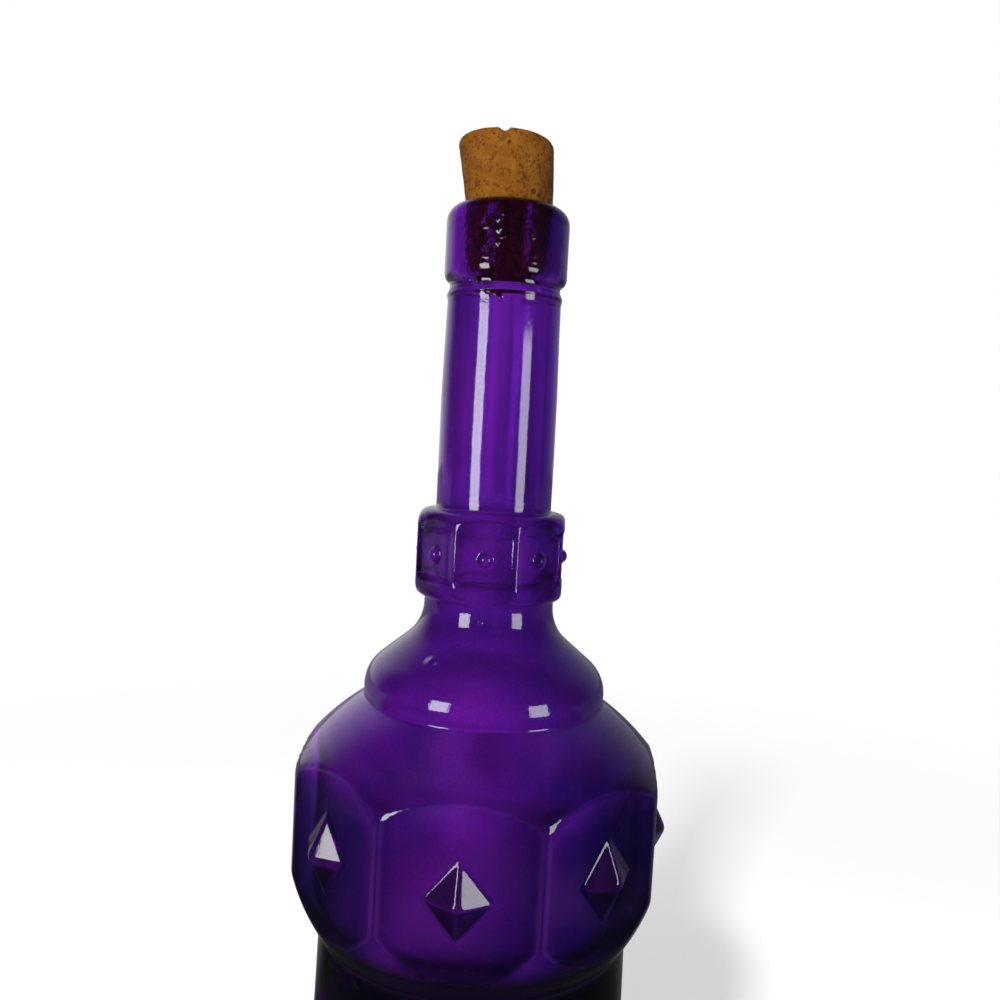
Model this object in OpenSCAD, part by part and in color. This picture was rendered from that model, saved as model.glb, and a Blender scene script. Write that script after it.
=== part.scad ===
// Genie bottle: one hollow glass bottle with an eight-sided bulge, and its cork.
// Millimetres. The bottle stands on Z = 0 with its axis on Z. A flat of the bulge faces -Y.

/* [Lower body] */
// Height from the table to where the bulge begins
lower_h = 105; // [90:1:125]
// Diameter at the foot
foot_d = 88; // [87:0.5:91]
// Diameter just under the bulge
waist_d = 84.6; // [83:0.2:86]
// Wall of the glass
wall = 3.4; // [2.8:0.1:3.8]
// How far the middle of the base is pushed up
push_up = 8; // [5:0.5:12]

/* [Bulge] */
// Distance between opposite flats
flats_across = 94; // [92:0.5:97]
// Diameter of the barrel left between the flats
barrel_d = 100.8; // [100:0.2:101.4]
// Height of the bulge, from the lower body to the dome
bulge_h = 62; // [59:0.5:65]
// Radius of the round shoulder above the flats
shoulder_r = 62; // [60.5:0.5:64]
// Radius of the round underside below the flats
under_r = 52.2; // [51.5:0.1:53]

/* [Diamonds] */
// Width of a raised diamond
diamond_w = 15.4; // [14:0.2:17]
// Height of a raised diamond
diamond_h = 18.8; // [17:0.2:21]
// How far its point stands off the flat
diamond_rise = 4.6; // [3.8:0.1:5.4]
// Height of the diamonds' middle above the bottom of the bulge
diamond_z = 27.2; // [26:0.2:30]

/* [Dome] */
// Widest diameter of the dome over the bulge
dome_d = 65.6; // [63:0.2:67]
// Diameter of the throat above the dome
throat_d = 35.2; // [34:0.2:36.4]
// Rounding of the dome's edge
dome_round = 9.5; // [8.5:0.1:10.5]
// Hollow curve from the dome up to the throat
throat_round = 12; // [11:0.2:13]
// Height from the middle of the dome's edge to the throat
throat_rise = 22.7; // [21:0.1:24]

/* [Neck collar] */
// Distance between opposite flats of the neck collar
collar_across = 39.4; // [38.6:0.2:40.4]
// Diameter over the corners of the neck collar
collar_d = 42.2; // [41.8:0.1:42.6]
// Height of the neck collar
collar_h = 23.8; // [23:0.2:27]
// Rounding of its upper and lower edges
collar_round = 4.2; // [3.2:0.1:4.6]
// Height of the sunk panels
panel_h = 12.8; // [11:0.2:14]
// Depth of the sunk panels
panel_deep = 0.8; // [0.5:0.1:1]
// Width of the posts between the panels
post_w = 2.2; // [1.8:0.1:3]
// Diameter of the bead in each panel
bead_d = 4; // [3:0.1:5]

/* [Neck and mouth] */
// Height of the plain neck with its bead ring
neck_h = 60.1; // [54:0.1:66]
// Diameter of the neck at the bottom
neck_d = 31.3; // [30.6:0.1:32]
// Diameter of the neck just under the mouth
neck_top_d = 30.4; // [30:0.1:31]
// Diameter of the bore of the neck
bore_d = 24; // [23:0.1:24.6]
// Outer diameter of the mouth collar
mouth_d = 32.9; // [32.2:0.1:34]
// Height of the mouth collar
mouth_h = 20.4; // [19.4:0.2:23]
// Rounding of the lip
lip_round = 4.2; // [3.6:0.1:4.4]

/* [Cork] */
// Length of the cork
cork_len = 35.6; // [33:0.2:38]
// Diameter of the cork at its top
cork_top_d = 25.5; // [25.2:0.1:26]
// Diameter of the cork at its bottom
cork_low_d = 21; // [20.4:0.1:21.4]
// How far the cork goes into the mouth
cork_in = 17.8; // [16.6:0.2:18.6]
// Gap between the cork and the mouth, all round
cork_gap = 0.05; // [0.03:0.01:0.08]

/* [Hidden] */
$fn = 36;
flats = 8;
turn = 360 / flats;
bulge_z = lower_h;
crease_z = bulge_z + bulge_h;
barrel_r = barrel_d / 2;
flat_r = flats_across / 2;
waist_r = waist_d / 2;
foot_r = foot_d / 2;
foot_round = 3;
foot_ring_w = 7;
diamond_skirt = 0.9;

// A diamond stands on the flat, or on the barrel where no flat is cut, and is rooted in the wall.
diamond_foot_r = min(flat_r, barrel_r);
diamond_root = wall * 0.75;

// A length beyond every outline, for cutting tools that only have to be long enough.
beyond = foot_d + flats_across;

// The shoulder and the underside are cut from two round balls on the axis.
crease_r = dome_d / 2 - 0.4;
shoulder_z = crease_z - sqrt(pow(shoulder_r, 2) - pow(crease_r, 2));
under_z = bulge_z + sqrt(pow(under_r, 2) - pow(waist_r, 2));
waist_fillet = 2.5;
fillet_z = under_z - sqrt(pow(under_r + waist_fillet, 2) - pow(waist_r + waist_fillet, 2));

// The dome's edge and the throat are two arcs joined by a straight slope that touches both.
dome_x = dome_d / 2 - dome_round;
dome_z = crease_z + 3;
throat_x = throat_d / 2 + throat_round;
throat_z = dome_z + throat_rise;
arc_gap = sqrt(pow(throat_x - dome_x, 2) + pow(throat_z - dome_z, 2));
slope = atan2(throat_z - dome_z, throat_x - dome_x) - acos((dome_round + throat_round) / arc_gap);

collar_z = throat_z + 2;
collar_top_z = collar_z + collar_h;
panel_z = collar_z + (collar_h - panel_h) / 2 + 0.3;
collar_side = collar_across * tan(turn / 2);

mouth_z = collar_top_z + neck_h;
lip_z = mouth_z + mouth_h;
ring_z = mouth_z - 3.3;
ring_round = 1.6;
mouth_round = 2.2;
groove_d = 29.6;

// The bore in the mouth has the cork's own taper.
cork_taper = (cork_top_d - cork_low_d) / 2 / cork_len;
cork_z = lip_z - cork_in;
cork_round = 1.6;
lip_bore_r = cork_low_d / 2 + cork_taper * cork_in + cork_gap;
stop_bore_r = cork_low_d / 2 + cork_gap;
bore_flare = 6;

inner_floor = push_up + wall + 1;
inner_round = 12;
inner_flat_r = diamond_foot_r - wall;
inner_collar_r = collar_across / 2 - wall;

module turned() {
    rotate_extrude() children();
}

// A closed outline cut back to the right of the axis, so that it can be turned.
module right_half() {
    intersection() {
        children();
        translate([0, -beyond])
            square([beyond, beyond + lip_z + cork_len]);
    }
}

module octagon(across) {
    corner_r = across / 2 / cos(turn / 2);
    polygon([for (i = [0 : flats - 1]) corner_r * [cos(turn * (i + 0.5)), sin(turn * (i + 0.5))]]);
}

module on_each_flat() {
    for (i = [0 : flats - 1])
        rotate([0, 0, turn * i])
            children();
}

module rounded_box(low, high, round) {
    translate([low[0], low[1] + round])
        square([high[0] - low[0], high[1] - low[1] - 2 * round]);
    translate(low)
        square([high[0] - low[0] - round, high[1] - low[1]]);
    for (y = [low[1] + round, high[1] - round])
        translate([high[0] - round, y])
            circle(r = round);
}

// Lower body with its rounded foot and pushed-up base.
module lower_outline() {
    difference() {
        union() {
            polygon([
                [0, foot_round],
                [foot_r, foot_round],
                [waist_r, bulge_z],
                [waist_r, bulge_z + 3],
                [0, bulge_z + 3]
            ]);
            square([foot_r - foot_round, foot_round + 1]);
            translate([foot_r - foot_round, foot_round])
                circle(r = foot_round);
        }
        push_up_cut(foot_r - foot_ring_w, push_up);
    }
}

module push_up_cut(reach, rise) {
    ball_r = (pow(reach, 2) + pow(rise, 2)) / 2 / rise;
    translate([0, rise - ball_r])
        circle(r = ball_r);
}

// Barrel of the bulge: round shoulder, straight middle, round underside.
module barrel_outline(shoulder, under, side) {
    intersection() {
        translate([0, shoulder_z])
            circle(r = shoulder);
        translate([0, under_z])
            circle(r = under);
        translate([0, bulge_z - beyond])
            square([side, 2 * beyond]);
    }
}

// Small hollow curve where the underside meets the lower body.
module waist_fillet_outline() {
    reach = under_r / (under_r + waist_fillet);
    touch = [(waist_r + waist_fillet) * reach, under_z + (fillet_z - under_z) * reach];
    difference() {
        polygon([
            [waist_r - 4, fillet_z],
            [waist_r, fillet_z],
            touch,
            touch + [-5, 5],
            [waist_r - 4, touch[1] + 5]
        ]);
        translate([waist_r + waist_fillet, fillet_z])
            circle(r = waist_fillet);
    }
}

// Dome and throat. Both arcs are moved by the same inset, which gives the inner wall.
module dome_outline(inset) {
    convex = dome_round - inset;
    hollow = throat_round + inset;
    dome_touch = [dome_x, dome_z] + convex * [cos(slope), sin(slope)];
    throat_touch = [throat_x, throat_z] - hollow * [cos(slope), sin(slope)];
    translate([dome_x, dome_z])
        circle(r = convex);
    difference() {
        polygon([
            [0, dome_z - 6],
            [dome_x, dome_z - 6],
            [dome_x, dome_z],
            dome_touch,
            throat_touch,
            [throat_x, throat_z],
            [0, throat_z]
        ]);
        translate([throat_x, throat_z])
            circle(r = hollow);
    }
}

// Plain neck from the dome to the mouth, with the bead ring under the mouth collar.
module neck_outline() {
    polygon([
        [0, throat_z - 1],
        [throat_d / 2, throat_z - 1],
        [throat_d / 2, collar_z + 4],
        [neck_d / 2, collar_top_z - 4],
        [neck_d / 2, collar_top_z + neck_h * 0.5],
        [neck_top_d / 2, ring_z],
        [groove_d / 2, mouth_z - 1.2],
        [groove_d / 2, mouth_z + 4],
        [0, mouth_z + 4]
    ]);
    translate([neck_top_d / 2 + 0.35 - ring_round, ring_z])
        circle(r = ring_round);
}

module mouth_outline() {
    translate([0, mouth_z + mouth_round])
        square([mouth_d / 2, mouth_h - mouth_round - lip_round]);
    translate([0, mouth_z])
        square([mouth_d / 2 - mouth_round, mouth_h]);
    translate([mouth_d / 2 - mouth_round, mouth_z + mouth_round])
        circle(r = mouth_round);
    translate([0, lip_z - lip_round - 1])
        square([mouth_d / 2 - lip_round, lip_round + 1]);
    translate([mouth_d / 2 - lip_round, lip_z - lip_round])
        circle(r = lip_round);
}

// One raised diamond: two long ridges that cross, each along one pair of its sides.
module diamond() {
    lean = atan2(diamond_h, diamond_w);
    half_w = diamond_w / 2 * sin(lean);
    intersection() {
        rotate([0, lean, 0])
            ridge(half_w);
        rotate([0, -lean, 0])
            ridge(half_w);
    }
}

// A ridge along X that rises toward -Y, with a flatter skirt at each foot.
module ridge(half_w) {
    length = diamond_h * 2;
    skirt_rise = diamond_rise * diamond_skirt / half_w / 2;
    foot_w = half_w + diamond_skirt;
    translate([-length / 2, 0, 0])
        rotate([90, 0, 90])
            linear_extrude(length)
                polygon([
                    [diamond_root, -foot_w],
                    [0, -foot_w],
                    [-skirt_rise, -half_w],
                    [-diamond_rise, 0],
                    [-skirt_rise, half_w],
                    [0, foot_w],
                    [diamond_root, foot_w]
                ]);
}

module bulge() {
    intersection() {
        turned()
            right_half()
                barrel_outline(shoulder_r, under_r, barrel_r);
        translate([0, 0, bulge_z - beyond])
            linear_extrude(2 * beyond)
                octagon(flats_across);
    }
    on_each_flat()
        translate([0, -diamond_foot_r, bulge_z + diamond_z])
            diamond();
}

module neck_collar() {
    difference() {
        intersection() {
            turned()
                rounded_box([0, collar_z], [collar_d / 2, collar_top_z], collar_round);
            translate([0, 0, collar_z - 2])
                linear_extrude(collar_h + 4)
                    octagon(collar_across);
        }
        on_each_flat()
            translate([-collar_side / 2 + post_w / 2, -collar_across / 2 - 3, panel_z])
                cube([collar_side - post_w, 3 + panel_deep, panel_h]);
    }
    on_each_flat()
        translate([0, -collar_across / 2 + panel_deep + 0.4, panel_z + panel_h / 2])
            sphere(d = bead_d);
}

// The hollow inside, one outline from the floor to the mouth.
module hollow_outline() {
    difference() {
        rounded_box([0, push_up], [waist_r - wall, bulge_z + 14], inner_round);
        push_up_cut(foot_r - foot_ring_w - 2, inner_floor);
    }
    barrel_outline(shoulder_r - wall, under_r - wall - 1, inner_flat_r);
    dome_outline(wall);
    polygon([
        [0, throat_z - 1],
        [throat_d / 2 - wall, throat_z - 1],
        [throat_d / 2 - wall, collar_z],
        [bore_d / 2, collar_z + collar_h / 2],
        [bore_d / 2, cork_z - bore_flare],
        [stop_bore_r, cork_z],
        [lip_bore_r, lip_z],
        [lip_bore_r + cork_taper * 2, lip_z + 2],
        [0, lip_z + 2]
    ]);
    rounded_box([0, collar_z + 1], [inner_collar_r, collar_top_z - 1], collar_round * 2);
}

module glass_bottle() {
    color([0.24, 0.03, 0.5, 0.55])
        difference() {
            union() {
                turned()
                    right_half() {
                        lower_outline();
                        waist_fillet_outline();
                        dome_outline(0);
                        neck_outline();
                        mouth_outline();
                    }
                bulge();
                neck_collar();
            }
            turned()
                right_half()
                    hollow_outline();
        }
}

module cork_stopper() {
    top_z = cork_z + cork_len;
    shoulder = cork_top_d / 2 - cork_taper * cork_round;
    color([0.68, 0.43, 0.2])
        turned()
            right_half() {
                polygon([
                    [0, cork_z],
                    [cork_low_d / 2, cork_z],
                    [shoulder, top_z - cork_round],
                    [shoulder - cork_round, top_z],
                    [0, top_z]
                ]);
                translate([shoulder - cork_round, top_z - cork_round])
                    circle(r = cork_round);
            }
}

glass_bottle();
cork_stopper();
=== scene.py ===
"""A genie bottle of violet glass with its cork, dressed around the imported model. Metres, Z up."""
import math

import bpy
import numpy as np
from mathutils import Matrix, Vector, noise


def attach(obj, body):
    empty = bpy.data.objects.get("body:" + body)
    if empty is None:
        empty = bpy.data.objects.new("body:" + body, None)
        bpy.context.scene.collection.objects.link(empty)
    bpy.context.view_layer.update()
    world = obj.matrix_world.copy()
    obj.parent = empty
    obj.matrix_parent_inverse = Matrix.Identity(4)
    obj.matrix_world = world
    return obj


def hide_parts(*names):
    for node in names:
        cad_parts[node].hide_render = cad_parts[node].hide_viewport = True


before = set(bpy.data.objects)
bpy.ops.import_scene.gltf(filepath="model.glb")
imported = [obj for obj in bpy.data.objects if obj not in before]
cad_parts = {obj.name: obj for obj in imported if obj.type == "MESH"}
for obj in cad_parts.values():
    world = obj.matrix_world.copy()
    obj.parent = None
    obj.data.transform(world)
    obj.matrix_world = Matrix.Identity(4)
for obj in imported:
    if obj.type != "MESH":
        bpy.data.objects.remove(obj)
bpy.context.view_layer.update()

# The camera comes first, because the cork leans across its view.
# It stands close in front, a little over the middle of the bottle, and is rolled by three degrees.
view_turn = math.radians(4.1)
camera_distance = 0.24491
camera_height = 0.23637
tilt, pan, roll = math.radians(-3.548), math.radians(0.385), math.radians(3.026)
lens_share = 0.8999
to_model = Matrix.Rotation(view_turn, 3, "Z")
forward = Vector((math.sin(pan) * math.cos(tilt), math.cos(pan) * math.cos(tilt), math.sin(tilt)))
level = Vector((math.cos(pan), -math.sin(pan), 0))
upright = level.cross(forward)
camera_right = to_model @ (level * math.cos(roll) + upright * math.sin(roll))
camera_up = to_model @ (upright * math.cos(roll) - level * math.sin(roll))
camera_data = bpy.data.cameras.new("camera")
camera_data.sensor_width = 36
camera_data.lens = 36 * lens_share
camera_data.clip_start = 0.01
camera = bpy.data.objects.new("camera", camera_data)
axes = Matrix((camera_right, camera_up, -(to_model @ forward))).transposed().to_4x4()
spot = to_model @ Vector((0, -camera_distance, camera_height))
camera.matrix_world = Matrix.Translation(spot) @ axes
bpy.context.scene.collection.objects.link(camera)
bpy.context.scene.camera = camera

# The bottle's glass, from the foot to the mouth.
# One piece of violet glass, blown in a mould: outline first, then the flats, diamonds, panels and beads.
# All lengths in this section are millimetres, and the mesh is scaled to metres at the end.
lower_h = 105
foot_r = 44
waist_r = 42.3
wall = 3.4
push_up = 8
foot_round = 3
foot_ring_w = 7
flat_r = 47
barrel_r = 50.4
bulge_h = 62
shoulder_r = 62
under_r = 52.2
dome_r = 32.8
throat_r = 17.6
dome_round = 9.5
throat_round = 12
throat_rise = 22.7
collar_flat_r = 19.7
collar_r = 21.1
collar_h = 23.8
collar_round = 4.2
neck_h = 60.1
neck_r = 15.65
neck_top_r = 15.2
bore_r = 12
mouth_r = 16.45
mouth_h = 20.4
lip_round = 4.2
mouth_round = 2.2
groove_r = 14.8
ring_round = 1.6
waist_fillet = 2.5

bulge_z = lower_h
crease_z = bulge_z + bulge_h
crease_r = dome_r - 0.4
shoulder_z = crease_z - math.sqrt(shoulder_r ** 2 - crease_r ** 2)
under_z = bulge_z + math.sqrt(under_r ** 2 - waist_r ** 2)
fillet_r = waist_r + waist_fillet
fillet_z = under_z - math.sqrt((under_r + waist_fillet) ** 2 - fillet_r ** 2)
fillet_top = under_z + (fillet_z - under_z) * under_r / (under_r + waist_fillet)

dome_x = dome_r - dome_round
dome_z = crease_z + 3
throat_x = throat_r + throat_round
throat_z = dome_z + throat_rise
arc_gap = math.hypot(throat_x - dome_x, throat_z - dome_z)
slope = math.atan2(throat_z - dome_z, throat_x - dome_x)
slope -= math.acos((dome_round + throat_round) / arc_gap)

collar_z = throat_z + 2
collar_top = collar_z + collar_h
mouth_z = collar_top + neck_h
lip_z = mouth_z + mouth_h
ring_z = mouth_z - 3.3
cork_in = 17.8
cork_z = lip_z - cork_in
lip_bore_r = 11.67
stop_bore_r = 10.55
bore_flare = 6
inner_floor = push_up + wall + 1
inner_round = 12


def round_side(z, middle_r, middle_z, radius, hollow=False):
    """Radius of a turned arc at each height. A hollow arc bulges toward the axis."""
    reach = np.sqrt(np.maximum(radius ** 2 - (z - middle_z) ** 2, 0))
    return middle_r - reach if hollow else middle_r + reach


def boxed_side(z, low, high, outer, low_round, high_round):
    """Radius of a turned band with rounded edges, and 0 above and below it."""
    side = np.full_like(z, float(outer))
    for edge, radius in ((low + low_round - z, low_round), (z - high + high_round, high_round)):
        past = np.clip(edge, 0, radius)
        side = np.minimum(side, outer - radius + np.sqrt(radius ** 2 - past ** 2))
    return np.where((z >= low) & (z <= high), side, 0)


def dome_side(z, inset):
    """Radius of the dome and throat, moved inward by the inset."""
    convex, hollow = dome_round - inset, throat_round + inset
    low_r, low_z = dome_x + convex * math.cos(slope), dome_z + convex * math.sin(slope)
    high_r, high_z = throat_x - hollow * math.cos(slope), throat_z - hollow * math.sin(slope)
    side = np.interp(z, [low_z, high_z], [low_r, high_r])
    side = np.where(z < low_z, round_side(z, dome_x, dome_z, convex), side)
    return np.where(z > high_z, round_side(z, throat_x, throat_z, hollow, True), side)


def outer_side():
    """The turned outline from the foot ring to the lip, from low to high."""
    z = np.arange(foot_round, lip_z - lip_round, 0.05)
    side = np.interp(z, [foot_round, bulge_z], [foot_r, waist_r])
    side = np.where(z > fillet_z, round_side(z, fillet_r, fillet_z, waist_fillet, True), side)
    ball = np.minimum(round_side(z, 0, under_z, under_r), round_side(z, 0, shoulder_z, shoulder_r))
    side = np.where(z > fillet_top, np.minimum(ball, barrel_r), side)
    side = np.where(z > crease_z, dome_side(z, 0), side)
    neck = np.interp(
        z,
        [throat_z, collar_z + 4, collar_top - 4, collar_top + neck_h / 2, ring_z, mouth_z - 1.2],
        [throat_r, throat_r, neck_r, neck_r, neck_top_r, groove_r],
    )
    side = np.where(z > throat_z, neck, side)
    side = np.maximum(side, boxed_side(z, collar_z, collar_top, collar_r, collar_round, collar_round))
    side = np.maximum(side, boxed_side(z, mouth_z, lip_z, mouth_r, mouth_round, lip_round))
    ring = round_side(z, neck_top_r + 0.35 - ring_round, ring_z, ring_round)
    return np.where(abs(z - ring_z) < ring_round, np.maximum(side, ring), side), z


def inner_side():
    """The hollow from the mouth down to the floor, from high to low."""
    z = np.arange(push_up + inner_round, lip_z - 0.4, 0.05)[::-1]
    low = np.interp(
        z,
        [throat_z, collar_z, collar_z + collar_h / 2, cork_z - bore_flare, cork_z, lip_z],
        [throat_r - wall, throat_r - wall, bore_r, bore_r, stop_bore_r, lip_bore_r],
    )
    collar = boxed_side(
        z, collar_z + 1, collar_top - 1, collar_flat_r - wall, collar_round * 2, collar_round * 2
    )
    low = np.maximum(low, collar)
    side = np.where(z < throat_z, dome_side(z, wall), low)
    ball = np.minimum(
        round_side(z, 0, under_z, under_r - wall - 1),
        round_side(z, 0, shoulder_z, shoulder_r - wall),
    )
    ball = np.minimum(ball, flat_r - wall)
    side = np.where(z < dome_z, np.maximum(ball, np.where(z > dome_z - dome_round + wall, side, 0)), side)
    body = boxed_side(z, 0, bulge_z + 14, waist_r - wall, 1, inner_round)
    return np.where(z < bulge_z + 14, np.maximum(body, np.where(z > bulge_z, ball, 0)), side), z


def arc(middle, radius, start, end):
    """Points of an arc in the (radius, height) plane, by angle in degrees."""
    angle = np.radians(np.linspace(start, end, 60))
    return middle[0] + radius * np.cos(angle), middle[1] + radius * np.sin(angle)


def dish(reach, rise, inward):
    """The pushed-up base from one side: from the axis outward, or back toward it."""
    ball_r = (reach ** 2 + rise ** 2) / 2 / rise
    radius = np.linspace(0, reach, 200)
    height = rise - ball_r + np.sqrt(ball_r ** 2 - radius ** 2)
    return (radius[::-1], height[::-1]) if inward else (radius, height)


def whole_outline():
    """One line in the (radius, height) plane: base, foot, outside, lip, inside and floor."""
    reach = foot_r - foot_ring_w
    foot = arc((foot_r - foot_round, foot_round), foot_round, -90, 0)
    lip = arc((mouth_r - lip_round, lip_z - lip_round), lip_round, 0, 90)
    inner_r, inner_z = inner_side()
    corner = arc((waist_r - wall - inner_round, push_up + inner_round), inner_round, 0, -90)
    floor_r, floor_z = dish(reach - 2, inner_floor, True)
    over = floor_z > push_up
    parts = [dish(reach, push_up, False), foot, outer_side(), lip, (inner_r, inner_z), corner]
    parts.append((floor_r[over], floor_z[over]))
    return np.concatenate([p[0] for p in parts]), np.concatenate([p[1] for p in parts])


def softened(radius, height, soft=0.45):
    """The outline walked in even steps, with each corner rounded as glass leaves the mould."""
    step = 0.05
    walk = np.concatenate([[0], np.cumsum(np.hypot(np.diff(radius), np.diff(height)))])
    even = np.arange(0, walk[-1], step)
    reach = int(3 * soft / step)
    bell = np.exp(-0.5 * (np.arange(-reach, reach + 1) * step / soft) ** 2)
    bell /= bell.sum()
    lines = []
    for line, mirror in ((radius, -1), (height, 1)):
        line = np.interp(even, walk, line)
        start, end = line[reach:0:-1], line[-2:-reach - 2:-1]
        if mirror < 0:
            start, end = -start, -end
        lines.append(np.convolve(np.concatenate([start, line, end]), bell, "valid"))
    lines[0][0] = lines[0][-1] = 0
    return even, lines[0], lines[1]


# The mould shapes the outside. The inside is smoother, because only air pressed it.
walk, line_r, line_z = softened(*whole_outline())
lip_walk = walk[np.argmax(line_z)]
_, calm_r, calm_z = softened(*whole_outline(), 2.4)
below_seat = np.clip((walk - lip_walk - cork_in - 2 * bore_flare) / 10, 0, 1)
line_r = line_r + (calm_r - line_r) * below_seat
line_z = line_z + (calm_z - line_z) * below_seat
diamond_w = 15.4
diamond_h = 18.8
diamond_rise = 4.6
diamond_slope = 0.79
diamond_skirt = 0.9
diamond_mid = bulge_z + 27.2
across_step = diamond_w / 28
down_step = diamond_h / 28


def row_places():
    """Where the rows of the mesh lie along the outline, and how many columns each row has."""
    gap = np.full_like(line_z, 1.5)
    outside = walk < lip_walk
    gap[outside & (line_z < bulge_z - 6)] = 4
    gap[outside & (line_z < foot_round + 2)] = 0.8
    gap[outside & (line_z < push_up + 1) & (line_r < foot_r - foot_ring_w - 1)] = 3
    gap[outside & (abs(line_z - bulge_z) < 6)] = 0.8
    gap[outside & (abs(line_z - crease_z) < 2.5)] = 0.5
    gap[outside & (abs(line_z - diamond_mid) < diamond_h * 0.7)] = down_step
    gap[outside & (line_z > collar_z - 1) & (line_z < collar_top + 1)] = 0.5
    gap[outside & (line_z > collar_top + 1)] = 2.4
    gap[outside & (line_z > ring_z - 3)] = 0.45
    gap[~outside] = 2.2
    gap[~outside & (line_z > lip_z - 1.5)] = 0.45
    dense = np.cumsum(1 / gap) * (walk[1] - walk[0])
    middle = np.interp(diamond_mid, line_z[outside], dense[outside])
    places = np.arange(dense[0] + 0.8, dense[-1] - 0.4, 1.0)
    places += middle % 1 - places[0] % 1
    along = np.interp(places, dense, walk)
    r, z = np.interp(along, walk, line_r), np.interp(along, walk, line_z)
    columns = np.full(len(along), 120)
    out = along < lip_walk
    columns[out & (z > bulge_z - 3) & (z < mouth_z - 6)] = 240
    columns[out & (z > bulge_z + 1) & (z < crease_z + 1)] = 480
    return along, r, z, columns


def column_angles():
    """The 480 angles of a full row, close together at the diamonds and at the strips between flats."""
    beside = np.arange(1, 21) * across_step
    half = list(np.degrees(np.arctan(beside / flat_r)))
    half += list(np.linspace(half[-1], 19.5, 7)[1:])
    half += list(np.linspace(19.5, 22.5, 5)[1:])
    sector = [-a for a in half[::-1]] + [0] + half[:-1]
    turned = [45 * k + a for k in range(8) for a in sector[30:] + [45 + b for b in sector[:30]]]
    return np.radians(np.array(turned) - 90)


def soft_least(a, b, soft):
    """The smaller of two lengths, rounded over where they are close."""
    near = np.maximum(soft - abs(a - b), 0) / soft
    return np.minimum(a, b) - near ** 2 * soft / 4


def soft_rise(x):
    """A smooth step from 0 to 1."""
    x = np.clip(x, 0, 1)
    return x * x * (3 - 2 * x)


def soft_size(x, soft):
    """The size of a length without its sign, rounded near 0."""
    return np.sqrt(x ** 2 + soft ** 2) - soft * 0.4


along, row_r, row_z, row_columns = row_places()
angles = column_angles()
from_flat = np.degrees(angles + math.pi / 2) + 22.5
flat_number = (from_flat // 45).astype(int) % 8
from_flat = np.radians(from_flat % 45 - 22.5)
z, turn = row_z[:, None], angles[None, :]
radius = np.repeat(row_r[:, None], len(angles), axis=1)
is_out = (along < lip_walk)[:, None]

# Eight flats cut the barrel of the bulge, and leave narrow strips between them.
in_bulge = is_out & (z > bulge_z + 0.5) & (z < crease_z + 1)
radius = np.where(in_bulge, soft_least(radius, flat_r / np.cos(from_flat), 0.3), radius)

# A diamond stands in the middle of each flat: a four-sided point with a low skirt round it.
# The two beside the front one were cut a little higher and further out in the mould.
moved_across = np.array([0, 2, 0, 0, 0, 0, 0, -3])[flat_number] * across_step
moved_up = np.array([0, 2, 2, 2, 2, 2, 2, 3])[flat_number] * down_step
beside = flat_r * np.tan(from_flat) - moved_across
above = z - diamond_mid - moved_up
half_w = diamond_w / 2
half_h = diamond_h / 2
face_w = half_w * half_h / math.hypot(half_w, half_h)
away = (soft_size(beside, 0.2) / half_w + soft_size(above, 0.2) / half_h) * face_w
skirt_rise = diamond_rise * diamond_skirt / face_w / 2
height = np.interp(away, [face_w, face_w + diamond_skirt], [skirt_rise, 0])
height = np.where(away < face_w, skirt_rise + (face_w - away) * diamond_slope, height)
height = soft_least(height, diamond_rise, 0.5)
radius = radius + np.where(in_bulge, height / np.cos(from_flat), 0)
on_diamond = in_bulge & (away < face_w + diamond_skirt + 1)
leans_right = beside * above < 0

# Eight flats on the neck collar too, each with a sunk panel and a bead in its middle.
panel_h = 12.8
panel_deep = 0.6
post_w = 2.2
bead_r = 2
panel_mid = collar_z + collar_h / 2 + 0.3
in_collar = is_out & (z > collar_z + 0.2) & (z < collar_top - 0.2)
collar_beside = collar_flat_r * np.tan(from_flat)
panel_w = 2 * collar_flat_r * math.tan(math.pi / 8) - post_w
edge = np.minimum(panel_w / 2 - abs(collar_beside), panel_h / 2 - abs(z - panel_mid))
sunk = panel_deep * soft_rise(edge / 1.6 + 0.5)
flat = collar_flat_r / np.cos(from_flat)
bead_off = np.hypot(collar_beside, z - panel_mid)
bead = np.sqrt(np.maximum(bead_r ** 2 - bead_off ** 2, 0)) - panel_deep - 0.4 + sunk
radius = np.where(in_collar, soft_least(radius, flat, 1.1) - sunk, radius)
radius = radius + np.where(in_collar & (bead_off < bead_r), np.maximum(bead, 0), 0)

# The wall is a little uneven, as blown glass is: slow waves, stronger inside than outside.
waves = np.zeros_like(radius)
for count, tall, size, shift in ((2, 0.031, 0.5, 0.3), (3, 0.043, 0.4, 1.9), (5, 0.021, 0.3, 4.1), (7, 0.09, 0.2, 2.2)):
    waves += size * np.sin(count * turn + shift) * np.sin(z * tall * 2 * math.pi / 2 + shift * 3 + count * 0.7)
seated = (~is_out) & (z > cork_z - 8)
amount = np.where(is_out, 0.05, 0.22) * np.clip(row_r / 8, 0, 1)[:, None]
amount = np.where(seated | (is_out & (z < foot_round + 3)), 0, amount)
radius = radius + waves * amount


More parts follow.
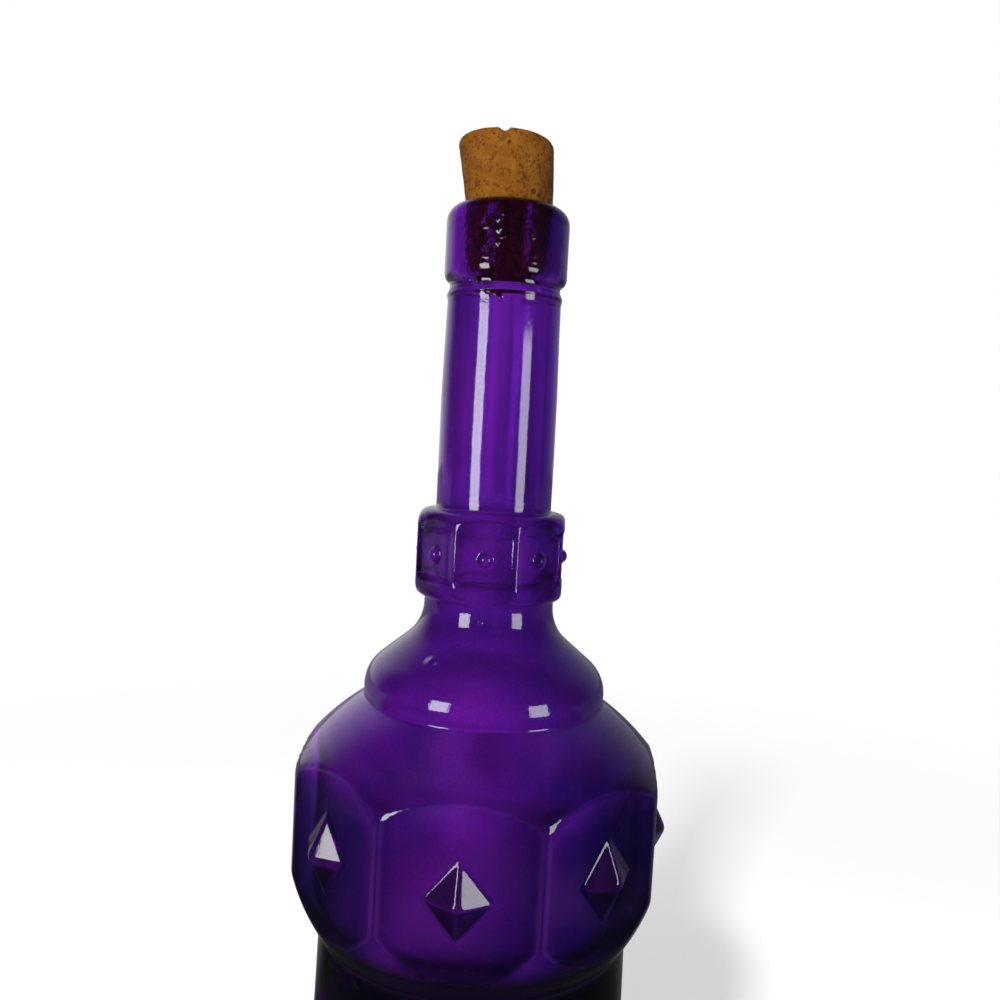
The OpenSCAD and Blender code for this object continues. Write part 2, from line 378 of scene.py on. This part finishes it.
def glass_mesh(name):
    """Joins the rows into one closed skin. A row with half the columns of the next is joined by threes."""
    points, faces, starts = [], [], []
    count = 0
    for k in range(len(along)):
        every = 480 // row_columns[k]
        r, a = radius[k, ::every], angles[::every]
        points.append(np.stack([r * np.cos(a), r * np.sin(a), np.full_like(r, row_z[k])], 1))
        starts.append(count)
        count += len(r)
    inner_from = 0
    for k in range(len(along) - 1):
        if not inner_from and along[k] > lip_walk:
            inner_from = len(faces)
        low_n, high_n = row_columns[k], row_columns[k + 1]
        n = min(low_n, high_n)
        i = np.arange(n)
        j = (i + 1) % n
        low, high = starts[k], starts[k + 1]
        if low_n == high_n:
            quads = np.stack([low + i, low + j, high + j, high + i], 1)
            cut = on_diamond[k] & on_diamond[k, (np.arange(480) + 1) % 480] & (n == 480) if n == 480 else i < 0
            faces += quads[~cut].tolist()
            for part, order in ((~leans_right[k][:n], (1, 3)), (leans_right[k][:n], (0, 2))):
                chosen = quads[cut & part]
                first, last = order
                faces += chosen[:, [first, (first + 1) % 4, last]].tolist()
                faces += chosen[:, [last, (last + 1) % 4, first]].tolist()
        elif low_n > high_n:
            mid = low + 2 * i + 1
            faces += np.stack([low + 2 * i, mid, high + i], 1).tolist()
            faces += np.stack([mid, low + 2 * j, high + j, high + i], 1).tolist()
        else:
            mid = high + 2 * i + 1
            faces += np.stack([high + 2 * i, low + i, mid], 1).tolist()
            faces += np.stack([low + i, low + j, high + 2 * j, mid], 1).tolist()
    base_from = len(faces)
    for k, flip in ((0, True), (len(along) - 1, False)):
        end = 0 if k == 0 else -1
        points.append(np.array([[0, 0, line_z[end]]]))
        i = np.arange(row_columns[k])
        j = (i + 1) % row_columns[k]
        fan = np.stack([np.full_like(i, count), starts[k] + i, starts[k] + j], 1)
        faces += (fan[:, [0, 2, 1]] if flip else fan).tolist()
        count += 1
    mesh = bpy.data.meshes.new(name)
    mesh.from_pydata((np.concatenate(points) * 0.001).tolist(), [], faces)
    mesh.polygons.foreach_set("use_smooth", [True] * len(mesh.polygons))
    skins = np.zeros(len(faces), int)
    skins[inner_from:base_from] = 1
    skins[base_from + row_columns[0]:] = 1
    mesh.polygons.foreach_set("material_index", skins.tolist())
    mesh.update()
    piece = bpy.data.objects.new(name, mesh)
    bpy.context.scene.collection.objects.link(piece)
    return piece


class Socket:
    """An output of a shader node. Sums on it add Math nodes to the same tree."""

    def __init__(self, tree, output=None):
        self.tree = tree
        self.output = output

    def node(self, kind, settings, values, out=0):
        """Adds a node: its settings first, then the values or links of its sockets."""
        made = self.tree.nodes.new("ShaderNode" + kind)
        for name, value in settings.items():
            if name == "stops":
                ramp = made.color_ramp.elements
                while len(ramp) < len(value):
                    ramp.new(1)
                for stop, (place, colour) in zip(ramp, value):
                    stop.position, stop.color = place, (*colour, 1)
            else:
                setattr(made, name, value)
        for name, value in values.items():
            if isinstance(value, Socket):
                self.tree.links.new(value.output, made.inputs[name])
            else:
                made.inputs[name].default_value = value
        return Socket(self.tree, made.outputs[out] if made.outputs else None)

    def other(self, name):
        """Another output of the same node."""
        return Socket(self.tree, self.output.node.outputs[name])

    def sum(self, operation, first, second):
        return self.node("Math", {"operation": operation}, {0: first, 1: second})

    def __add__(self, other):
        return self.sum("ADD", self, other)

    def __radd__(self, other):
        return self.sum("ADD", other, self)

    def __sub__(self, other):
        return self.sum("SUBTRACT", self, other)

    def __rsub__(self, other):
        return self.sum("SUBTRACT", other, self)

    def __mul__(self, other):
        return self.sum("MULTIPLY", self, other)

    def __rmul__(self, other):
        return self.sum("MULTIPLY", other, self)

    def __truediv__(self, other):
        return self.sum("DIVIDE", self, other)

    def __gt__(self, other):
        return self.sum("GREATER_THAN", self, other)

    def __lt__(self, other):
        return self.sum("LESS_THAN", self, other)


def blank_material(name):
    """A material with an output and nothing else, and a socket to build it from."""
    material = bpy.data.materials.new(name)
    material.use_nodes = True
    material.node_tree.nodes.clear()
    return material, Socket(material.node_tree)


# The colour sits in the outer skin. It deepens in the diamonds, where the glass is thick. Painted shade darkens it
# toward the foot, under the bulge, on the side flats, on the right and on the lower diamond faces; painted light lifts
# the left shoulder, and a painted highlight runs along the edges of the flats. Seeds, rings and a fold stand in the
# surface.
violet, start = blank_material("violet_glass")
place = start.node("TexCoord", {}, {}, "Object")
grain = start.node("TexNoise", {}, {"Vector": place, "Scale": 1600, "Detail": 2}, "Fac")
cloud = start.node("TexNoise", {}, {"Vector": place, "Scale": 45, "Detail": 2}, "Fac")
streaks = start.node("Mapping", {}, {"Vector": place, "Scale": (60, 60, 14)})
cords = start.node("TexNoise", {}, {"Vector": streaks, "Scale": 1, "Detail": 2}, "Fac")
threads = start.node("Mapping", {}, {"Vector": place, "Scale": (230, 230, 9)})
threads = start.node("TexNoise", {}, {"Vector": threads, "Scale": 1, "Detail": 1}, "Fac")
where = start.node("SeparateXYZ", {}, {"Vector": place}, "X")
depth, height = where.other("Y"), where.other("Z")
eighths = start.sum("ARCTAN2", depth, where) / (math.pi / 4) + 0.5
around = (start.sum("FRACT", eighths, 0) - 0.5) * (math.pi / 4)
outward = start.sum("SQRT", where * where + depth * depth, 0) * start.sum("COSINE", around, 0) * 1000
in_flats = (height > (bulge_z + 2) / 1000) * (crease_z / 1000 > height)
below_flat = flat_r - outward
# Painted highlight: a light line along the edges of the flats and the strips between them.
painted_edge_highlight = start.node(
    "ValToRGB",
    {"stops": [(0.1, (0, 0, 0)), (0.25, (1, 1, 1)), (0.4, (1, 1, 1)), (0.7, (0, 0, 0))]},
    {"Fac": below_flat * 1.6 + 0.1},
)
upright = start.node("Clamp", {}, {"Value": (0.149 - height) * 500})
upright = upright * start.node("Clamp", {}, {"Value": (height - 0.12) * 300})
raised = start.node("Clamp", {}, {"Value": (0 - below_flat - 0.25) * 2}) * in_flats
low_half = start.node("Clamp", {}, {"Value": (diamond_mid / 1000 - height) * 900 + 0.6})
# By height the tint carries painted shade toward the foot and in a band under the bulge; elsewhere it steps lighter and
# darker up the body, lightest at the top of the flats and at the mouth.
tints_with_painted_shade = [
    (0.0, (0.016, 0.0016, 0.05)),
    (0.19, (0.022, 0.002, 0.065)),
    (0.3, (0.05, 0.0035, 0.14)),
    (0.342, (0.018, 0.0018, 0.055)),
    (0.365, (0.045, 0.003, 0.12)),
    (0.383, (0.08, 0.0055, 0.23)),
    (0.405, (0.085, 0.0055, 0.24)),
    (0.44, (0.11, 0.0062, 0.29)),
    (0.49, (0.21, 0.01, 0.48)),
    (0.525, (0.075, 0.005, 0.23)),
    (0.567, (0.1, 0.007, 0.29)),
    (0.6, (0.07, 0.006, 0.235)),
    (0.65, (0.092, 0.0078, 0.26)),
    (0.92, (0.105, 0.010, 0.31)),
    (0.945, (0.16, 0.011, 0.38)),
]
tint = start.node("ValToRGB", {"stops": tints_with_painted_shade}, {"Fac": height / 0.3 + (cords - 0.5) * 0.02})
in_neck = start.node("Clamp", {}, {"Value": (height - 0.22) * 200})
shade = start.sum("MAXIMUM", 0.4 + cloud * 0.4 + grain * 0.8 + (threads - 0.5) * in_neck * 2.6, 0.3)
tint = start.node("VectorMath", {"operation": "SCALE"}, {0: tint, "Scale": shade}, "Vector")
hues = start.node(
    "ValToRGB", {"stops": [(0.35, (0.82, 1, 1.06)), (0.65, (1.18, 1, 0.92))]}, {"Fac": cloud * 0.7 + threads * 0.3}
)
tint = start.node("VectorMath", {"operation": "MULTIPLY"}, {0: tint, 1: hues}, "Vector")
# Painted shade: the right side of the glass is darkened, most in red and green.
painted_shade_right = start.node("MapRange", {"interpolation_type": "SMOOTHSTEP"}, {"Value": where, 1: -0.005, 2: 0.03})
tint = start.node(
    "Mix",
    {"data_type": "RGBA", "blend_type": "MULTIPLY"},
    {"Factor": painted_shade_right, "A": tint, "B": (0.62, 0.8, 0.98, 1)},
    2,
)
# Painted shade on the right side of the mouth, above 279 mm.
painted_shade_mouth_right = start.node("MapRange", {"interpolation_type": "SMOOTHSTEP"}, {"Value": where, 1: 0.008, 2: 0.012})
painted_shade_mouth_right = painted_shade_mouth_right * start.node("Clamp", {}, {"Value": (height - 0.279) * 400})
tint = start.node(
    "Mix",
    {"data_type": "RGBA", "blend_type": "MULTIPLY"},
    {"Factor": painted_shade_mouth_right, "A": tint, "B": (0.25, 0.46, 0.33, 1)},
    2,
)
# Painted light: the left side of the upper bulge, from 150 mm up to the crease, is lifted toward lilac.
painted_light_left_shoulder = start.node(
    "MapRange", {"interpolation_type": "SMOOTHSTEP"}, {"Value": where, 1: -0.008, 2: -0.042}
)
painted_light_left_shoulder = painted_light_left_shoulder * start.node("Clamp", {}, {"Value": (height - 0.15) * 200}) * in_flats
tint = start.node(
    "Mix",
    {"data_type": "RGBA", "blend_type": "MULTIPLY"},
    {"Factor": painted_light_left_shoulder, "A": tint, "B": (2.8, 1.5, 2.4, 1)},
    2,
)
# Painted shade: a dark band on the front half, from 86 to 116 mm, under the bulge.
painted_shade_low_front = start.node("Clamp", {}, {"Value": (0.116 - height) * 250})
painted_shade_low_front = painted_shade_low_front * start.node("Clamp", {}, {"Value": (height - 0.086) * 120})
painted_shade_low_front = painted_shade_low_front * start.node("Clamp", {}, {"Value": (0.005 - depth) * 60})
tint = start.node(
    "Mix",
    {"data_type": "RGBA", "blend_type": "MULTIPLY"},
    {"Factor": painted_shade_low_front, "A": tint, "B": (0.02, 0.06, 0.02, 1)},
    2,
)
# Painted shade: the side flats below 155 mm are darkened, all but the diamonds.
in_flat_rows = start.node("Clamp", {}, {"Value": (0.155 - height) * 120})
painted_shade_sides = start.node(
    "MapRange", {"interpolation_type": "SMOOTHSTEP"}, {"Value": start.sum("ABSOLUTE", where, 0), 1: 0.016, 2: 0.024}
)
tint = start.node(
    "Mix",
    {"data_type": "RGBA", "blend_type": "MULTIPLY"},
    {"Factor": painted_shade_sides * in_flats * in_flat_rows * (1 - raised), "A": tint, "B": (0.1, 0.2, 0.27, 1)},
    2,
)
# The diamonds deepen a little where their glass is thick; the much stronger darkening of their lower halves is painted
# shade.
tint = start.node(
    "Mix",
    {"data_type": "RGBA", "blend_type": "MULTIPLY"},
    {"Factor": raised * (low_half * 0.8 + 0.15), "A": tint, "B": (0.04, 0.035, 0.05, 1)},
    2,
)
# The painted highlight along the flat edges, strongest in the upright band from 120 to 149 mm.
tint = start.node(
    "Mix",
    {"data_type": "RGBA"},
    {"Factor": painted_edge_highlight * in_flats * (0.04 + upright * 0.14), "A": tint, "B": (0.5, 0.3, 0.75, 1)},
    2,
)

# Small flaws by place, in millimetres, with their width and height: a stone bubble and a seed on the dome,
# a few seeds elsewhere, drips on the mouth and a short fold below it.
flaws = [
    ((-12.3, -22.2, 180.6), 2.6, 0.7),
    ((-11.6, -22.6, 181.0), 1.6, -0.7),
    ((-0.4, -17.7, 190.6), 0.7, 0.3),
    ((9.1, -12.4, 276.0), 1.2, 0.4),
    ((-24.9, -34.0, 102.9), 1.6, 0.5),
    ((18.7, -26.7, 170.6), 0.7, 0.3),
    ((24.1, -37.5, 156.7), 0.8, 0.3),
    ((-4.5, -15.8, 291.7), 1.7, 0.6),
    ((-3.9, -15.9, 284.6), 2.0, 0.6),
    ((7.4, -14.6, 289.2), 1.1, 0.4),
    ((8.2, -14.3, 283.8), 1.8, 0.6),
]
flaws += [((-0.6, -16.4, 286.6), 1.2, 0.35), ((0.1, -16.4, 288.0), 0.9, 0.3), ((-0.3, -16.4, 290.0), 1.7, 0.45)]
flaws += [((-0.9, -16.4, 292.4), 1.2, 0.3), ((0.0, -16.4, 293.6), 0.9, 0.25)]
flaws += [((-7.4 + 1.4 * k, -12.9 - 0.48 * k, 277.7 - 0.9 * k), 1.3, -0.5) for k in range(6)]
relief = cords * 0.08 + grain * 0.012 + threads * in_neck * 0.02
ring_zone = start.node("Clamp", {}, {"Value": 1 - start.sum("ABSOLUTE", height - 0.2765, 0) * 300})
relief = relief + start.sum("SINE", height * 4200 + cords * 3, 0) * ring_zone * cloud * 0.12
for spot, wide, tall in flaws:
    off = start.node(
        "VectorMath", {"operation": "DISTANCE"}, {0: place, 1: [c * 0.001 for c in spot]}, "Value"
    )
    lump = start.node(
        "MapRange", {"interpolation_type": "SMOOTHSTEP"}, {"Value": off, 1: wide * 0.001, 2: 0, 3: 0, 4: tall}
    )
    relief = relief + lump
bump = start.node("Bump", {}, {"Strength": 1, "Distance": 0.001, "Height": relief})
glass = start.node(
    "BsdfPrincipled",
    {},
    {
        "Base Color": tint,
        "Roughness": 0.045,
        "IOR": 1.5,
        "Transmission Weight": 1,
        "Normal": bump,
    },
)
haze = start.node("BsdfDiffuse", {}, {"Color": (0.35, 0.06, 0.8, 1)})
skin = start.node("MixShader", {}, {0: raised * (1 - low_half * 0.9) * 0.01, 1: glass, 2: haze})
start.node("OutputMaterial", {}, {"Surface": skin})

# The inner skin is the same glass without the tint, so that edges and middle are equally violet.
# Where the cork presses on it the surface is dimpled.
clear, start = blank_material("clear_glass")
place = start.node("TexCoord", {}, {}, "Object")
height = start.node("SeparateXYZ", {}, {"Vector": place}, "Z")
seat = start.node("MapRange", {}, {"Value": height, 1: (cork_z - 4) / 1000, 2: cork_z / 1000})
broad_part = start.node("Clamp", {}, {"Value": (0.224 - height) * 200})
low_part = start.node("Clamp", {}, {"Value": (0.107 - height) * 300})
dimples = start.node("TexNoise", {}, {"Vector": place, "Scale": 700, "Detail": 2}, "Fac")
slow = start.node("TexNoise", {}, {"Vector": place, "Scale": 110, "Detail": 2}, "Fac")
bump = start.node(
    "Bump",
    {},
    {"Strength": 1, "Distance": 0.001, "Height": dimples * seat * 0.12 + slow * (1 - seat) * 0.3},
)
inner = start.node(
    "BsdfPrincipled",
    {},
    {
        "Base Color": (1, 1, 1, 1),
        "Roughness": 0.12 + broad_part * 0.2 - low_part * 0.29,
        "IOR": 1.5,
        "Transmission Weight": 1,
        "Normal": bump,
    },
)
start.node("OutputMaterial", {}, {"Surface": inner})

bottle = glass_mesh("violet_glass_bottle")
bottle.data.materials.append(violet)
bottle.data.materials.append(clear)
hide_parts("glass_bottle")
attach(bottle, "bottle")

# The cork stopper.
# A tapered plug of cork, cut from one piece, with pits, dark flecks and a chip in its upper rim.
# It fits the taper of the mouth and leans a little where it stands out of the glass.
cork_len = 35.6
cork_top_r = 12.7
cork_low_r = 10.5
cork_round = 2.2
cork_top = cork_z + cork_len
cork_lean = 1.8
chip_turn = math.radians(-88)


def cork_mesh(name):
    """A turned plug with an eased rim, pitted all over where it shows."""
    shoulder_z = cork_top - cork_round
    rim = arc((cork_top_r - cork_round, shoulder_z), cork_round, 0, 90)
    side = (np.array([cork_low_r - 0.4, cork_low_r, cork_top_r]), np.array([cork_z, cork_z + 0.4, shoulder_z]))
    radius = np.concatenate([np.linspace(0, cork_low_r - 0.4, 12)[:-1], side[0], rim[0], [0]])
    height = np.concatenate([np.full(11, cork_z), side[1], rim[1], [cork_top]])
    length = np.concatenate([[0], np.cumsum(np.hypot(np.diff(radius), np.diff(height)))])
    rows = np.linspace(0.3, length[-1] - 0.3, 150)
    count = 224
    r, z = np.interp(rows, length, radius), np.interp(rows, length, height)
    turn = np.arange(count) / count * 2 * math.pi
    points = [np.array([0, 0, cork_z])]
    for a, b in zip(r, z):
        for t in turn:
            p = Vector((a * math.cos(t), a * math.sin(t), b))
            shows = min(max((b - lip_z) / 2, 0), 1)
            rough = noise.fractal(p * 0.55, 0.9, 2.1, 4) * 0.07
            pits = max(noise.noise(p * 0.9 + Vector((7, 1, 3))) - 0.38, 0) * 1.1
            dent = (pits + 0.07 + rough) * shows
            inward = Vector((p.x, p.y, 0))
            inward = inward.normalized() if inward.length > 0.01 else Vector((0, 0, 0))
            top = min(max((b - shoulder_z) / cork_round, 0), 1)
            p -= inward * dent * (1 - top) + Vector((0, 0, 1)) * dent * top
            chip = math.hypot((math.atan2(p.y, p.x) - chip_turn) * 12 / 1.6, (b - cork_top) / 1.9)
            if a > 5:
                p -= (Vector((0, 0, 0.6)) + inward * 0.8) * max(1 - chip * chip, 0)
            points.append(np.array(p))
    points.append(np.array([0, 0, cork_top - 0.1]))
    points = np.array(points)
    shift = np.clip((points[:, 2] - lip_z) / (cork_top - lip_z), 0, 1) ** 1.2 * cork_lean
    points[:, :2] -= np.outer(shift, camera_right[:2])
    i = np.arange(count)
    j = (i + 1) % count
    faces = []
    for k in range(len(r) - 1):
        low = 1 + k * count
        faces += np.stack([low + i, low + j, low + count + j, low + count + i], 1).tolist()
    faces += np.stack([np.zeros_like(i), 1 + j, 1 + i], 1).tolist()
    low = 1 + (len(r) - 1) * count
    faces += np.stack([low + i, low + j, np.full_like(i, len(points) - 1)], 1).tolist()
    mesh = bpy.data.meshes.new(name)
    mesh.from_pydata((points * 0.001).tolist(), [], faces)
    mesh.polygons.foreach_set("use_smooth", [True] * len(mesh.polygons))
    piece = bpy.data.objects.new(name, mesh)
    bpy.context.scene.collection.objects.link(piece)
    return piece


bark, start = blank_material("cork")
place = start.node("TexCoord", {}, {}, "Object")
soft = start.node("TexNoise", {}, {"Vector": place, "Scale": 260, "Detail": 4, "Roughness": 0.6}, "Fac")
broad = start.node("TexNoise", {}, {"Vector": place, "Scale": 90, "Detail": 2}, "Fac")
fine = start.node("TexNoise", {}, {"Vector": place, "Scale": 1500, "Detail": 3, "Roughness": 0.7}, "Fac")
cells = start.node("TexVoronoi", {}, {"Vector": place, "Scale": 520, "Randomness": 1}, "Distance")
sparse = start.node("TexNoise", {}, {"Vector": place, "Scale": 330, "Detail": 1}, "Fac")
flecks = start.node(
    "ValToRGB",
    {"stops": [(0.14, (1, 1, 1)), (0.24, (0, 0, 0))]},
    {"Fac": cells + (0.6 - sparse) * 1.6},
)
grains = start.node("TexVoronoi", {}, {"Vector": place, "Scale": 1000, "Randomness": 1}, "Distance")
patchy = start.node("TexNoise", {}, {"Vector": place, "Scale": 420, "Detail": 2}, "Fac")
specks = start.node(
    "ValToRGB",
    {"stops": [(0.14, (1, 1, 1)), (0.32, (0, 0, 0))]},
    {"Fac": grains + (0.47 - patchy) * 1.6},
)
flecks = start.sum("MAXIMUM", flecks, specks * 0.6)
seated = start.node("Clamp", {}, {"Value": (lip_z / 1000 - start.node("SeparateXYZ", {}, {"Vector": place}, "Z")) * 300})
mottle = start.node(
    "ValToRGB",
    {"stops": [(0.3, (0.058, 0.017, 0.001)), (0.48, (0.092, 0.030, 0.001)), (0.66, (0.125, 0.047, 0.003))]},
    {"Fac": soft * 0.6 + broad * 0.25 + fine * 0.15},
)
skin = start.node(
    "Mix",
    {"data_type": "RGBA"},
    {"Factor": flecks, "A": mottle, "B": (0.04, 0.010, 0.001, 1)},
    2,
)
dents = start.node(
    "Bump",
    {},
    {"Strength": 0.5, "Distance": 0.0004, "Height": soft + fine * 0.5 - flecks * 0.8},
)
# Painted light: the part of the cork inside the glass is brightened, strongest in blue, to stand in for the light the
# glass keeps from it; it stays bright when the cork is pulled out.
skin = start.node(
    "Mix", {"data_type": "RGBA", "blend_type": "MULTIPLY"}, {"Factor": seated, "A": skin, "B": (2.7, 2.6, 12, 1)}, 2
)
body = start.node(
    "BsdfPrincipled",
    {},
    {"Base Color": skin, "Roughness": 0.78 - soft * 0.1, "Specular IOR Level": 0.15, "Normal": dents},
)
start.node("OutputMaterial", {}, {"Surface": body})

stopper = cork_mesh("cork_stopper_plug")
stopper.data.materials.append(bark)
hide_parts("cork_stopper")
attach(stopper, "stopper")

# The table and the white behind it.
# A pale sheet under the bottle that runs out into white. It is lit by the lamps near the bottle, where the
# shadow falls, and shows as plain white further off. Reflections see it dim in front, as the room is.
sheet, start = blank_material("pale_sheet")
place = start.node("TexCoord", {}, {}, "Object")
far = start.node("VectorMath", {"operation": "LENGTH"}, {0: place}, "Value")
open_sheet = start.node("MapRange", {"interpolation_type": "SMOOTHSTEP"}, {"Value": far, 1: 0.15, 2: 0.7})
parts = start.node("SeparateXYZ", {}, {"Vector": place}, "Y")
behind = start.node("MapRange", {"interpolation_type": "SMOOTHSTEP"}, {"Value": parts, 1: 0.08, 2: 0.19})
across = parts.other("X")
# Painted shadow: through the glass the sheet shows as white light that is dim close to the bottle and toward the right,
# in place of the bottle's own shadow; its reflections dim toward the right too.
shaded = start.node(
    "MapRange", {"interpolation_type": "SMOOTHSTEP"}, {"Value": across, 1: -0.02, 2: 0.13, 3: 1, 4: 0.35}
)
slant = parts - across * 0.5
clear_of_painted_shadow = start.node("MapRange", {"interpolation_type": "SMOOTHSTEP"}, {"Value": slant, 1: 0.08, 2: 0.19})
rays = start.node("LightPath", {}, {}, "Is Camera Ray")
through = rays.other("Is Transmission Ray")
mirrored = start.node("Clamp", {}, {"Value": rays.other("Is Glossy Ray") - through})
paper = start.node("BsdfPrincipled", {}, {"Base Color": (0.85, 0.85, 0.85, 1), "Roughness": 0.7})
strength = rays + through * (0.1 + clear_of_painted_shadow * shaded * 0.9) + mirrored * (0.03 + behind * shaded * 0.25)
white = start.node("Emission", {}, {"Color": (1, 1, 1, 1), "Strength": strength})
plain = start.node("Clamp", {}, {"Value": rays * (open_sheet * 0.7 + 0.3) + through + mirrored})
shown = start.node("MixShader", {}, {0: plain, 1: paper, 2: white})
start.node("OutputMaterial", {}, {"Surface": shown})

floor_mesh = bpy.data.meshes.new("table_sheet")
reach = 6
floor_mesh.from_pydata(
    [(-reach, -reach, 0), (reach, -reach, 0), (reach, reach, 0), (-reach, reach, 0)], [], [(0, 1, 2, 3)]
)
floor = bpy.data.objects.new("table_sheet", floor_mesh)
bpy.context.scene.collection.objects.link(floor)
floor_mesh.materials.append(sheet)

# The light: a white studio behind and around, dimmer behind the camera, and three soft lamps.
# Two tall soft boxes stand to the left and right of the camera and show as bright streaks in the glass.
# The third hangs to the front left and throws the shadow.
world = bpy.data.worlds.new("studio")
bpy.context.scene.world = world
world.use_nodes = True
world.node_tree.nodes.clear()
start = Socket(world.node_tree)
rays = start.node("LightPath", {}, {}, "Is Camera Ray")
through = rays.other("Is Transmission Ray")
mirrored = start.node("Clamp", {}, {"Value": rays.other("Is Glossy Ray") - through})
way = start.node("TexCoord", {}, {}, "Generated")
parts = start.node("SeparateXYZ", {}, {"Vector": way}, "Y")
behind = start.node("MapRange", {"interpolation_type": "SMOOTHSTEP"}, {"Value": parts, 1: -0.3, 2: 0.4})
far_back = start.node("MapRange", {"interpolation_type": "SMOOTHSTEP"}, {"Value": parts, 1: 0.2, 2: 1.0})
across = parts.other("X")
rightward = start.node("Clamp", {}, {"Value": across})
dim_right = start.node(
    "MapRange", {"interpolation_type": "SMOOTHSTEP"}, {"Value": across, 1: -0.02, 2: 0.2, 3: 1, 4: 0.55}
)
leftward = start.node("Clamp", {}, {"Value": 0 - across})
far_left = start.node("MapRange", {"interpolation_type": "SMOOTHSTEP"}, {"Value": leftward, 1: 0.15, 2: 0.5})
level = rays + through * (0.4 + behind * 0.6) * dim_right * (1 - far_left * 0.4)
level = level + mirrored * (0.03 + far_back * (0.35 + leftward * 1.3 - rightward * 0.15))
level = level + (1 - rays - through - mirrored) * 0.55
sky = start.node("Background", {}, {"Color": (1, 1, 1, 1), "Strength": level})
start.node("OutputWorld", {}, {"Surface": sky})


def soft_box(name, side, distance, height, size, power, aim=0.2):
    """A square lamp aimed at the bottle. Its side angle is measured from the camera, to the right."""
    turn = math.radians(side) + view_turn
    spot = Vector((math.sin(turn) * distance, -math.cos(turn) * distance, height))
    data = bpy.data.lights.new(name, "AREA")
    data.shape = "RECTANGLE"
    data.size, data.size_y = size
    data.energy = power
    lamp = bpy.data.objects.new(name, data)
    lamp.location = spot
    lamp.rotation_euler = (spot - Vector((0, 0, aim))).to_track_quat("Z", "Y").to_euler()
    lamp.visible_camera = False
    bpy.context.scene.collection.objects.link(lamp)
    return lamp


soft_box("left_soft_box", -39, 0.45, 0.253, (0.14, 0.21), 1.0, 0.253)
soft_box("right_soft_box", 50.5, 0.45, 0.222, (0.14, 0.22), 0.7, 0.222)
key = soft_box("shadow_lamp", -24, 0.92, 0.9, (0.13, 0.13), 24, 0.1)
key.visible_glossy = False
key.visible_transmission = False

bpy.context.scene.view_settings.view_transform = "Standard"
